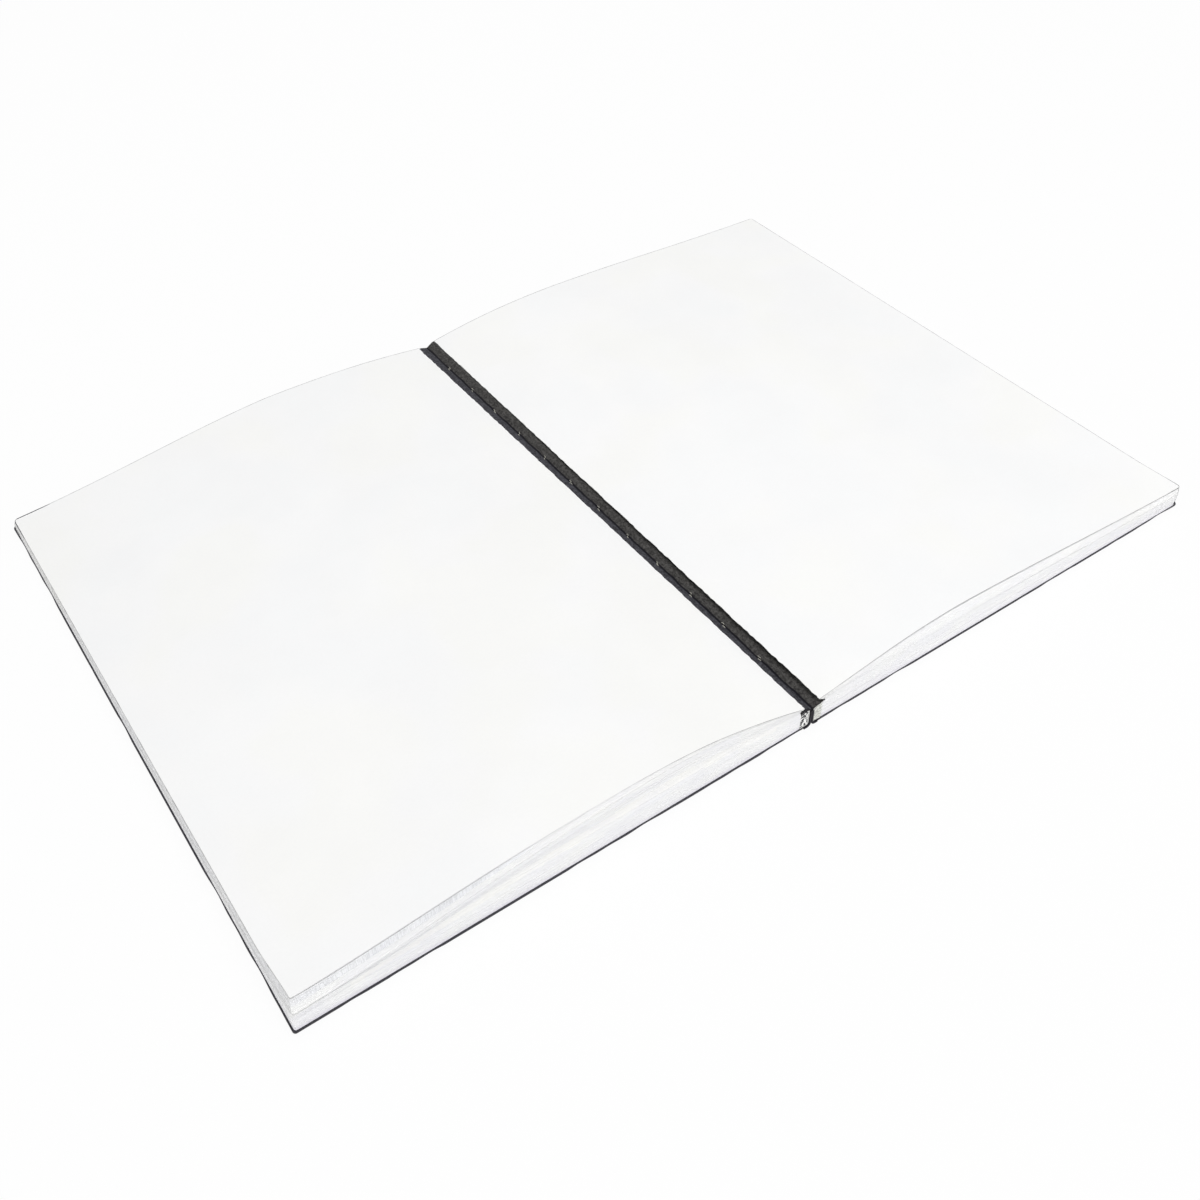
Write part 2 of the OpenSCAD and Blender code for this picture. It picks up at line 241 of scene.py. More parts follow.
class Side:
    """One half of the book. d is the distance from the gutter, and sign is -1 on the left."""

    def __init__(self, name, sign, leaves):
        self.name = name
        self.sign = sign
        self.crest = getattr(leaves, name + "_crest") / MM
        self.crest_z = (
            getattr(leaves, name + "_crest_foot") / MM,
            getattr(leaves, name + "_crest_head") / MM,
        )
        self.edge_z = (
            getattr(leaves, name + "_edge_foot") / MM,
            getattr(leaves, name + "_edge_head") / MM,
        )
        self.start = (leaves.start_foot / MM, leaves.start_head / MM)
        self.lot_setback = leaves.lot_setback / MM
        self.setback_foot = getattr(leaves, name + "_setback_foot") / MM
        self.setback_body = getattr(leaves, name + "_setback") / MM
        self.setback_head = getattr(leaves, name + "_setback_head") / MM
        self.corner = (
            getattr(leaves, name + "_corner_foot") / MM,
            getattr(leaves, name + "_corner_head") / MM,
        )

    def at(self, d, y, z):
        return (self.sign * d * MM, y * MM, z * MM)

    def start_of(self, y):
        return mix(self.start[0], self.start[1], share(y))

    def reach(self, y, part):
        """Distance of the fore edge of a sprung layer; part is 0 for the lowest."""
        top = mix(self.setback_body, self.setback_head, share(y))
        top += (self.setback_foot - self.setback_body) * (1 - ease((y + HALF_HEIGHT) / 26))
        return FORE_EDGE - mix(self.lot_setback, top, part)

    def top_setback(self, d):
        """How far the foot edge of the top leaf lies back."""
        return 0.1 + 0.75 * ease((d - 12) / 45)

    def arch(self, d, end):
        start, start_z, power = self.start[end], self.start_z[end], self.power[end]
        if d <= self.crest:
            s = max(0.0, (d - start) / (self.crest - start))
            return mix(start_z, self.crest_z[end], 1 - (1 - s) ** power)
        t = clamp((d - self.crest) / (FORE_EDGE - self.crest), 0.0, 1.0)
        fall = ease(t**1.25) if self.full_at_foot and end == 0 else (t + ease(t)) / 2
        return mix(self.edge_z[end], self.crest_z[end], 1 - fall)

    def top(self, d, y):
        """Height of the top leaf."""
        return mix(self.arch(d, 0), self.arch(d, 1), share(y))

    def flat(self, d, y):
        """Height of the flat lot's top."""
        return min(FLAT_HEIGHT + 0.15 * ease((d - 8) / 20), self.second(d, y) - 0.35)


class LeftSide(Side):
    groove = 0.12  # gap above the close leaves
    lowest = 0.0  # how far the lowest leaf lies back
    start_z = (11.8, 11.2)
    power = (2.3, 2.3)
    full_at_foot = True

    def above_second(self, d, y):
        total = self.top(d, y) - LOT_BOTTOM
        foot = min(mix(0.4, 1.0, ease(d / 55)) + max(0.0, d - 55) * 0.055, 8.4)
        head = 0.2 * total
        return min(mix(foot, head, ease(share(y))), 0.55 * total)

    def second(self, d, y):
        """Height of the line between the close leaves and the fanned ones."""
        return self.top(d, y) - self.above_second(d, y)

    def fan(self, d, y):
        """Thickness of the loose leaves right under the top leaf."""
        wanted = 4.3 * (1 - share(y)) ** 1.5 * ease((d - 98) / 62)
        return min(wanted + 0.12, 0.6 * (self.above_second(d, y) - UNDER))

    def close(self, n):
        """Number of the n sprung layers that lie close together."""
        return round(n * 0.5)

    def loose(self, n):
        """Number of the n sprung layers that fan out under the top leaf."""
        return round(n * 0.25)

    def level(self, k, n, d, y):
        """Height of the underside of layer k of the n sprung layers."""
        close, loose = self.close(n), self.loose(n)
        low, second, top = self.flat(d, y), self.second(d, y), self.top(d, y) - UNDER
        third = top - self.fan(d, y)
        if k <= close:
            return mix(low, second, k / close)
        if k <= n - loose:
            return mix(second, third, (k - close) / (n - loose - close))
        return mix(third, top, (k - n + loose) / loose)

    def hollow(self, d, z):
        """How far the foot face lies back at a height: a long shallow hollow catches the light."""
        w = (z - LOT_BOTTOM) / max(1.0, self.second(d, -HALF_HEIGHT) - LOT_BOTTOM)
        return 1.15 * ease((w - 0.4) / 0.24) * (1 - ease((w - 0.64) / 0.3)) * ease((d - 2) / 22)

    def tone(self, d, y, z):
        """Slot of the cut edges at a place: at the foot the leaves part into bands."""
        # Cut edges round the left corner at the head take the rim's painted shadow.
        if d > FORE_EDGE - 3 and y > HALF_HEIGHT - 13:
            return RIM_SHADE
        if y > 0.5 - HALF_HEIGHT:
            return EDGE
        second = self.second(d, y)
        if z > self.top(d, y) - self.fan(d, y):
            return FANNED if d > 123 else OPEN_HIGHLIGHT
        # The parting leaves' edges are painted lighter, as where light falls on them.
        if z > second:
            return OPEN_HIGHLIGHT
        # The cream band in the hollow is a painted highlight.
        w = (z - LOT_BOTTOM) / (second - LOT_BOTTOM)
        return CREAM_HIGHLIGHT if 0.5 < w < 0.64 and 14 < d < 190 else EDGE

    def setback(self, k, n, d, z):
        """How far the foot edge of a layer lies back."""
        close, loose = self.close(n), self.loose(n)
        if k < close:
            return self.hollow(d, z)
        return mix(0.1, self.top_setback(d) - 0.12, min(1.0, (k - close) / (n - loose - close)))


class RightSide(Side):
    groove = 0.07
    lowest = 1.0
    start_z = (13.0, 12.1)
    power = (1.75, 2.3)
    full_at_foot = False

    def second(self, d, y):
        top = self.top(d, y)
        foot = min(mix(11.6, 12.9, ease(d / 30)), 12.9 - max(0.0, d - 72) * 0.04)
        head = mix(LOT_BOTTOM, top, 0.78)
        return min(mix(foot, head, ease(share(y))), top - 0.6)

    def close(self, n):
        return round(n * 0.3)

    def loose(self, n):
        return 0

    def level(self, k, n, d, y):
        close = self.close(n)
        low, second, top = self.flat(d, y), self.second(d, y), self.top(d, y) - UNDER
        if k <= close:
            return mix(low, second, k / close)
        return mix(second, top, (k - close) / (n - close))

    def tone(self, d, y, z):
        # Cut edges round the right corner at the foot take the rim's painted shadow.
        if d > FORE_EDGE - 4.2 and y < 2.6 - HALF_HEIGHT:
            return RIM_SHADE
        if y > 0.5 - HALF_HEIGHT:
            return EDGE
        # Above the second line the edges are painted lighter, as where light falls on them.
        return OPEN_HIGHLIGHT if z > self.second(d, y) else EDGE

    def hollow(self, d, z):
        return 0.0

    def setback(self, k, n, d, z):
        close = self.close(n)
        if k < close:
            return 0.05
        return mix(0.1, self.top_setback(d) - 0.12, (k - close) / (n - close))


def sides(leaves):
    return LeftSide("left", -1, leaves), RightSide("right", 1, leaves)


def leaf_outline(inner, outer, step, corner):
    """Points (d, y) round a leaf: foot, fore edge, head and gutter edge.

    inner and outer give the distances of the gutter edge and the fore edge at a height y.
    """
    h = HALF_HEIGHT
    first, last = inner(-h), inner(h)
    r, s = corner
    foot, head = outer(-h) - r, outer(h) - s
    points = []
    cells = max(2, round((foot - first) / step))
    points += [(mix(first, foot, i / cells), -h) for i in range(cells)]
    arc = [math.radians(a) for a in (0, 22.5, 45, 67.5)]
    points += [(foot + r * math.sin(a), -h + r - r * math.cos(a)) for a in arc]
    cells = max(2, round(2 * h / (1.6 * step)))
    heights = [mix(-h + r, h - s, i / cells) for i in range(cells)]
    points += [(outer(y), y) for y in heights]
    points += [(head + s * math.cos(a), h - s + s * math.sin(a)) for a in arc]
    cells = max(2, round((head - last) / (1.5 * step)))
    points += [(mix(head, last, i / cells), h) for i in range(cells)]
    cells = max(2, round(2 * h / (3 * step)))
    points += [(inner(mix(h, -h, i / cells)), mix(h, -h, i / cells)) for i in range(cells)]
    return points


class Mesh:
    """Points and faces that are gathered before they become a piece."""

    def __init__(self):
        self.points = []
        self.faces = []
        self.slots = []
        self.smooth = []

    def face(self, corners, slot=0, smooth=False):
        self.faces.append(corners)
        self.slots.append(slot)
        self.smooth.append(smooth)

    def ring(self, stations, slots, smooth=False, closed=True):
        """Joins stations, each a list of points round a section, into a tube."""
        first, size, n = len(self.points), len(stations[0]), len(stations)
        for station in stations:
            self.points += station
        for i in range(n if closed else n - 1):
            a, b = first + i * size, first + (i + 1) % n * size
            for s in range(size):
                t = (s + 1) % size
                slot = slots[s] if isinstance(slots[s], int) else slots[s][i]
                self.face((a + s, a + t, b + t, b + s), slot, smooth)
        if not closed:
            self.face(tuple(range(first + size - 1, first - 1, -1)), slots[0])
            last = first + (n - 1) * size
            self.face(tuple(range(last, last + size)), slots[0])

    def tube(self, stations, smooth=True):
        """An open row of stations with a cap at both ends."""
        self.ring(stations, [0] * len(stations[0]), smooth, closed=False)

    def piece(self, name, materials):
        mesh = bpy.data.meshes.new(name)
        mesh.from_pydata(self.points, [], self.faces)
        for material in materials:
            mesh.materials.append(material)
        mesh.polygons.foreach_set("material_index", self.slots)
        mesh.polygons.foreach_set("use_smooth", self.smooth)
        work = bmesh.new()
        work.from_mesh(mesh)
        bmesh.ops.recalc_face_normals(work, faces=work.faces)
        for edge in work.edges:
            edge.smooth = all(face.smooth for face in edge.link_faces)
        work.to_mesh(mesh)
        work.free()
        mesh.update()
        found = bpy.data.objects.new(name, mesh)
        bpy.context.scene.collection.objects.link(found)
        return found


def add_band(mesh, side, outline, upper, lower, width, foot_shift):
    """One layer of leaves as a closed band: its cut edges outside, a ledge above and below.

    foot_shift gives how far its foot edge lies back at a distance and a height.
    """
    dmin = min(p[0] for p in outline)
    dmax = max(p[0] for p in outline)
    stations, tones = [], []
    for d, y in outline:
        e = clamp(d, dmin + width, dmax - width)
        v = clamp(y, -HALF_HEIGHT + width + 1.4, HALF_HEIGHT - width)
        high, low = upper(d, y), lower(d, y)
        near_foot = 1 - ease((y + HALF_HEIGHT) / 2.2)
        tones.append(side.tone(d, y, (high + low) / 2))
        stations.append(
            [
                side.at(d, y + foot_shift(d, high) * near_foot, high),
                side.at(d, y + foot_shift(d, low) * near_foot, low),
                side.at(e, v, lower(e, v)),
                side.at(e, v, upper(e, v)),
            ]
        )
    mesh.ring(stations, (tones, PAGE, PAGE, PAGE))


def add_sheet(mesh, side, outline, low, high):
    """One whole leaf, flat, as a closed sheet."""
    first, n = len(mesh.points), len(outline)
    for z in (low, high):
        mesh.points += [side.at(d, y, z) for d, y in outline]
    mesh.face(tuple(range(first, first + n)), PAGE)
    mesh.face(tuple(range(first + n, first + 2 * n)), PAGE)
    for i in range(n):
        j = (i + 1) % n
        mesh.face((first + i, first + j, first + n + j, first + n + i), EDGE)


def binding_edge(z):
    """Distance of a lot's binding edge from the gutter at a height, rounded below and above."""
    low_z, high_z = LOT_BOTTOM + 0.3, LINING_HIGH[2] - 0.3
    if z < low_z or z > high_z:
        return LINING_HIGH[0] + 0.1
    cut = 0.0
    if z < low_z + 0.8:
        t = low_z + 0.8 - z
        cut = 0.8 - math.sqrt(max(0.0, 0.64 - t * t))
    if z > high_z - 1.2:
        t = z - high_z + 1.2
        cut = 1.2 - math.sqrt(max(0.0, 1.44 - t * t))
    return LOT_FACE + cut


# ---------------------------------------------------------------- materials


class Nodes:
    """A material's node tree with a Principled shader."""

    def __init__(self, name):
        self.material = bpy.data.materials.new(name)
        self.material.use_nodes = True
        self.tree = self.material.node_tree
        self.tree.nodes.clear()
        self.shader = self.add("ShaderNodeBsdfPrincipled")
        output = self.add("ShaderNodeOutputMaterial")
        self.join(self.shader.outputs["BSDF"], output.inputs["Surface"])
        self.place = self.add("ShaderNodeTexCoord").outputs["Object"]

    def add(self, kind, **values):
        node = self.tree.nodes.new(kind)
        for key, value in values.items():
            setattr(node, key, value)
        return node

    def join(self, output, socket):
        self.tree.links.new(output, socket)

    def scaled(self, x, y, z):
        node = self.add("ShaderNodeVectorMath", operation="MULTIPLY")
        self.join(self.place, node.inputs[0])
        node.inputs[1].default_value = (x, y, z)
        return node.outputs[0]

    def noise(self, vector, scale, detail=2.0, roughness=0.5):
        node = self.add("ShaderNodeTexNoise")
        self.join(vector, node.inputs["Vector"])
        node.inputs["Scale"].default_value = scale
        node.inputs["Detail"].default_value = detail
        node.inputs["Roughness"].default_value = roughness
        return node.outputs["Fac"]

    def ramp(self, value, stops):
        node = self.add("ShaderNodeValToRGB")
        self.join(value, node.inputs["Fac"])
        elements = node.color_ramp.elements
        while len(elements) < len(stops):
            elements.new(0.5)
        for element, (position, shade) in zip(elements, stops):
            element.position = position
            element.color = (*shade, 1.0)
        return node.outputs["Color"]

    def math(self, operation, a, b):
        node = self.add("ShaderNodeMath", operation=operation)
        for socket, value in zip(node.inputs, (a, b)):
            if isinstance(value, (int, float)):
                socket.default_value = value
            else:
                self.join(value, socket)
        return node.outputs[0]

    def past(self, value, limit, slope):
        """0 before a limit and 1 past it; the sign of the slope gives the side."""
        found = self.math("MULTIPLY", self.math("SUBTRACT", value, limit), slope)
        found.node.use_clamp = True
        return found

    def axis(self, number):
        split = self.add("ShaderNodeSeparateXYZ")
        self.join(self.place, split.inputs[0])
        return split.outputs[number]

    def weave(self, pitch_mm):
        """Warp and weft as the product of two waves."""
        turns = math.pi / (pitch_mm * MM)
        waves = [
            self.math("SINE", self.math("MULTIPLY", self.axis(number), turns), 0.0)
            for number in (0, 1)
        ]
        return self.math("MULTIPLY", self.math("MULTIPLY", *waves), 0.5)

    def blend(self, factor, first, second, kind="MIX"):
        node = self.add("ShaderNodeMix", data_type="RGBA", blend_type=kind)
        sockets = (node.inputs[0], node.inputs[6], node.inputs[7])
        for socket, value in zip(sockets, (factor, first, second)):
            if isinstance(value, (int, float)):
                socket.default_value = value
            elif isinstance(value, (tuple, list)):
                socket.default_value = (*value, 1.0)
            else:
                self.join(value, socket)
        return node.outputs[2]

    def tinted(self, tone, tint, share=1.0):
        return self.blend(share, tone, tint, "MULTIPLY")

    def bump(self, height, strength, distance_mm):
        node = self.add("ShaderNodeBump")
        self.join(height, node.inputs["Height"])
        node.inputs["Strength"].default_value = strength
        node.inputs["Distance"].default_value = distance_mm * MM
        self.join(node.outputs["Normal"], self.shader.inputs["Normal"])

    def finish(self, base, roughness, specular=0.5, sheen=0.0):
        if isinstance(base, (tuple, list)):
            self.shader.inputs["Base Color"].default_value = (*base, 1.0)
        else:
            self.join(base, self.shader.inputs["Base Color"])
        if isinstance(roughness, float):
            self.shader.inputs["Roughness"].default_value = roughness
        else:
            self.join(roughness, self.shader.inputs["Roughness"])
        self.shader.inputs["Specular IOR Level"].default_value = specular
        if sheen:
            self.shader.inputs["Sheen Weight"].default_value = sheen
            self.shader.inputs["Sheen Roughness"].default_value = 0.5
        return self.material


def shade(base, factor):
    return tuple(clamp(c * factor, 0.0, 1.0) for c in base)


def kept(name, make):
    """The material of that name, made once."""
    return bpy.data.materials.get(name) or make(name)


def paper_material(name, base):
    """Cartridge paper: a fine tooth, faint fibres and a slow drift of tone."""
    nodes = Nodes(name)
    drift = nodes.noise(nodes.scaled(1, 1, 1), 26, 3)
    warmth = nodes.noise(nodes.scaled(1, 1, 0.5), 17, 2)
    fibre = nodes.noise(nodes.scaled(1, 1.6, 1), 900, 3, 0.6)
    tooth = nodes.noise(nodes.scaled(1, 1, 1), 2600, 2, 0.5)
    tone = nodes.ramp(drift, ((0.35, shade(base, 0.982)), (0.65, shade(base, 1.0))))
    tints = ((0.42, (1.0, 1.0, 0.988)), (0.5, (1.0, 1.0, 1.0)), (0.6, (0.992, 0.996, 1.0)))
    tone = nodes.tinted(tone, nodes.ramp(warmth, tints))
    tone = nodes.tinted(tone, nodes.ramp(fibre, ((0.35, (0.98,) * 3), (0.6, (1.0,) * 3))), 0.5)
    nodes.bump(nodes.math("ADD", nodes.math("MULTIPLY", fibre, 0.6), tooth), 0.25, 0.03)
    rough = nodes.math("ADD", nodes.math("MULTIPLY", tooth, 0.1), 0.72)
    return nodes.finish(tone, rough, 0.25)


def edge_material(name, base, contrast, fold=None):
    """Cut edges of many leaves: thin streaks along each leaf, and section folds darkened with painted
    shade.
    """
    nodes = Nodes(name)
    thin = nodes.noise(nodes.scaled(30, 30, 4200), 1, 1, 0.5)
    wide = nodes.noise(nodes.scaled(14, 14, 900), 1, 2, 0.5)
    cloud = nodes.noise(nodes.scaled(60, 60, 160), 1, 2)
    tone = nodes.ramp(thin, ((0.3, shade(base, 1 - contrast)), (0.7, shade(base, 1.02))))
    streaks = nodes.ramp(wide, ((0.35, (0.965, 0.966, 0.975)), (0.65, (1.0, 1.0, 1.0))))
    tone = nodes.tinted(tone, streaks)
    patches = nodes.ramp(cloud, ((0.38, (0.97, 0.968, 0.982)), (0.62, (1.0, 1.0, 0.988))))
    tone = nodes.tinted(tone, patches)
    nodes.bump(thin, 0.3, 0.04)
    if fold:
        x = nodes.axis(0)
        # Darker and lavender along the bottom of the stack, below 3.4 mm.
        low = nodes.past(nodes.axis(2), 0.0034, -700)
        tone = nodes.blend(nodes.math("MULTIPLY", low, 0.35), tone, (0.62, 0.58, 0.72))
        # Painted shade at the binding edge: near-black specks on the left and the darker fold colour
        # on the right stand for shade between the section folds.
        near = nodes.past(nodes.math("ABSOLUTE", x, 0.0), 0.0055, -2500)
        speck = nodes.noise(nodes.scaled(1, 1, 1.3), 1000, 2)
        dark = nodes.ramp(speck, ((0.45, (0.01, 0.01, 0.014)), (0.52, (0.93, 0.93, 0.92))))
        pale = nodes.ramp(speck, ((0.4, shade(fold, 0.75)), (0.6, shade(fold, 1.35))))
        tone = nodes.blend(near, tone, nodes.blend(nodes.past(x, 0.0, 5000), dark, pale))
    return nodes.finish(tone, 0.8, 0.2)


def fanned_material(name, base):
    """Cut edges of leaves that fan out: short darker strokes across the leaves, painted shade in the
    gaps between them.
    """
    nodes = Nodes(name)
    stroke = nodes.noise(nodes.scaled(2300, 400, 160), 1, 2, 0.6)
    group = nodes.noise(nodes.scaled(90, 90, 10), 1, 2)
    tone = nodes.ramp(stroke, ((0.42, shade(base, 0.84)), (0.56, shade(base, 1.0))))
    fade = nodes.past(nodes.axis(0), -0.122, -40)
    tone = nodes.blend(fade, shade(base, 1.03), tone)
    patches = nodes.ramp(group, ((0.4, (1.0, 1.0, 1.0)), (0.55, (0.955, 0.96, 0.97))))
    tone = nodes.tinted(tone, patches)
    nodes.bump(stroke, 0.3, 0.05)
    return nodes.finish(tone, 0.8, 0.2)


def rim_shade_material(name, base):
    """The top leaf's rim, painted grey as a shaded outline, with painted shadow most at the left
    corner at the head.
    """
    nodes = Nodes(name)
    x = nodes.axis(0)
    rim_mottle = nodes.noise(nodes.scaled(1, 1, 1), 140, 3, 0.6)
    tone = nodes.ramp(rim_mottle, ((0.35, shade(base, 0.8)), (0.65, shade(base, 1.2))))
    # Painted shadow: near black round the left corner at the head, dark round the right corner at the
    # foot.
    for place, radius, dark in (
        ((-FORE_EDGE * MM, HALF_HEIGHT * MM, 0.0045), 0.019, (0.03, 0.03, 0.04)),
        ((FORE_EDGE * MM, -HALF_HEIGHT * MM, 0.006), 0.011, (0.1, 0.1, 0.11)),
    ):
        corner = nodes.add("ShaderNodeVectorMath", operation="DISTANCE")
        nodes.join(nodes.place, corner.inputs[0])
        corner.inputs[1].default_value = place
        tone = nodes.blend(nodes.past(corner.outputs["Value"], radius, -180), tone, dark)
    # Less painted shade on the rim at the foot on the left.
    foot, left = nodes.past(nodes.axis(1), -0.146, -2000), nodes.past(x, -0.06, -30)
    paler_rim = nodes.math("MULTIPLY", nodes.math("MULTIPLY", foot, left), nodes.past(x, -0.2115, 3000))
    tone = nodes.blend(nodes.math("MULTIPLY", paler_rim, 0.8), tone, (0.88, 0.88, 0.9))
    return nodes.finish(tone, 0.8, 0.2)


def cover_material(name, base):
    """Black imitation leather: a fine pebbled grain, rubbed paler along its edges."""
    nodes = Nodes(name)
    pebble = nodes.add("ShaderNodeTexVoronoi", feature="SMOOTH_F1")
    nodes.join(nodes.scaled(1, 1, 1), pebble.inputs["Vector"])
    pebble.inputs["Scale"].default_value = 1300
    grain = pebble.outputs["Distance"]
    dust = nodes.noise(nodes.scaled(1, 1, 1), 45, 4, 0.6)
    tone = nodes.ramp(dust, ((0.35, shade(base, 0.8)), (0.7, shade(base, 1.5))))
    geometry = nodes.add("ShaderNodeNewGeometry")
    edge_band = nodes.ramp(geometry.outputs["Pointiness"], ((0.52, (0.0,) * 3), (0.6, (1.0,) * 3)))
    scuff = nodes.math("MULTIPLY", edge_band, nodes.noise(nodes.scaled(1, 1, 1), 420, 3))
    tone = nodes.blend(nodes.math("MULTIPLY", scuff, 0.35), tone, (0.09, 0.085, 0.09))
    rough = nodes.math("ADD", nodes.math("MULTIPLY", dust, 0.2), 0.4)
    nodes.bump(nodes.math("SUBTRACT", 1.0, grain), 0.5, 0.05)
    return nodes.finish(tone, rough, 0.4)


def woven_material(name, base, pitch_mm, depth_mm, sheen):
    """Plain weave: warp and weft threads at right angles, with a dusty sheen."""
    nodes = Nodes(name)
    slub = nodes.noise(nodes.scaled(3, 1, 1), 260, 3, 0.6)
    dust = nodes.noise(nodes.scaled(1, 1, 1), 700, 2)
    tone = nodes.ramp(slub, ((0.3, shade(base, 0.6)), (0.72, shade(base, 1.6))))
    lint = nodes.ramp(dust, ((0.68, (0.0,) * 3), (0.8, (1.0,) * 3)))
    tone = nodes.blend(nodes.math("MULTIPLY", lint, 0.12), tone, (0.25, 0.25, 0.26))
    nodes.bump(nodes.math("ADD", nodes.weave(pitch_mm), slub), 0.6, depth_mm)
    return nodes.finish(tone, 0.85, 0.2, sheen)


def tape_material(name, base):
    """Woven tape: bluish and darker on the left of its crease, brown and lighter on the right, painted
    shade and light on slopes that face the light differently, and painted shade dark in the crease.
    """
    nodes = Nodes(name)
    mottle = nodes.noise(nodes.scaled(1, 0.7, 1), 1000, 4, 0.8)
    wander = nodes.noise(nodes.scaled(0, 1, 0), 110, 3)
    lint = nodes.noise(nodes.scaled(1, 1, 1), 900, 2)
    bluish = (base[0], base[1], base[2] * 1.15)
    brown = (base[0] * 1.1, base[1] * 1.06, base[2])
    # Painted light and shade: the left slope darker and bluish, the right slope lighter and brown.
    left = nodes.ramp(mottle, ((0.38, shade(bluish, 0.4)), (0.64, shade(bluish, 1.75))))
    right = nodes.ramp(mottle, ((0.38, shade(brown, 0.45)), (0.64, shade(brown, 1.95))))
    drift = nodes.math("MULTIPLY", nodes.math("SUBTRACT", wander, 0.5), 0.0012)
    middle = nodes.math("SUBTRACT", nodes.axis(0), drift)
    tone = nodes.blend(nodes.past(middle, 0.0, 4000), left, right)
    # Painted shade: the crease is painted near black.
    crease = nodes.past(nodes.math("ABSOLUTE", middle, 0.0), 2.2 / 3800, -3800)
    tone = nodes.blend(nodes.math("MULTIPLY", crease, 0.95), tone, (0.003, 0.003, 0.006))
    end = nodes.past(nodes.axis(1), -HALF_HEIGHT * MM, -5000)
    tone = nodes.blend(nodes.math("MULTIPLY", end, 0.9), tone, (0.004, 0.004, 0.006))
    specks = nodes.ramp(lint, ((0.7, (0.0,) * 3), (0.78, (1.0,) * 3)))
    tone = nodes.blend(nodes.math("MULTIPLY", specks, 0.1), tone, (0.3, 0.3, 0.31))
    nodes.bump(nodes.math("ADD", nodes.weave(0.42), mottle), 0.6, 0.12)
    return nodes.finish(tone, 0.85, 0.12, 0.05)


def thread_material(name, base):
    """Linen thread: pale, waxed and a little uneven."""
    nodes = Nodes(name)
    fuzz = nodes.noise(nodes.scaled(1, 1, 1), 2400, 3)
    tone = nodes.ramp(fuzz, ((0.3, shade(base, 0.7)), (0.7, shade(base, 1.1))))
    nodes.bump(fuzz, 0.4, 0.04)
    return nodes.finish(tone, 0.6, 0.4)


def page_paper(colours):
    return kept("page_paper", lambda n: paper_material(n, tuple(colours.page)))


def leaf_papers(colours):
    """The materials of a layer, in the order of its slots."""
    fold = tuple(colours.fold)
    return (
        page_paper(colours),
        kept("leaf_edges", lambda n: edge_material(n, tuple(colours.edge), 0.05, fold)),
        kept("cream_edges", lambda n: edge_material(n, tuple(colours.cream), 0.02)),
        kept("open_edges", lambda n: edge_material(n, tuple(colours.open_edge), 0.02)),
        kept("fanned_edges", lambda n: fanned_material(n, tuple(colours.fanned))),
        kept("leaf_rim", lambda n: rim_shade_material(n, tuple(colours.rim))),
    )


# ---------------------------------------------------------------- the pieces


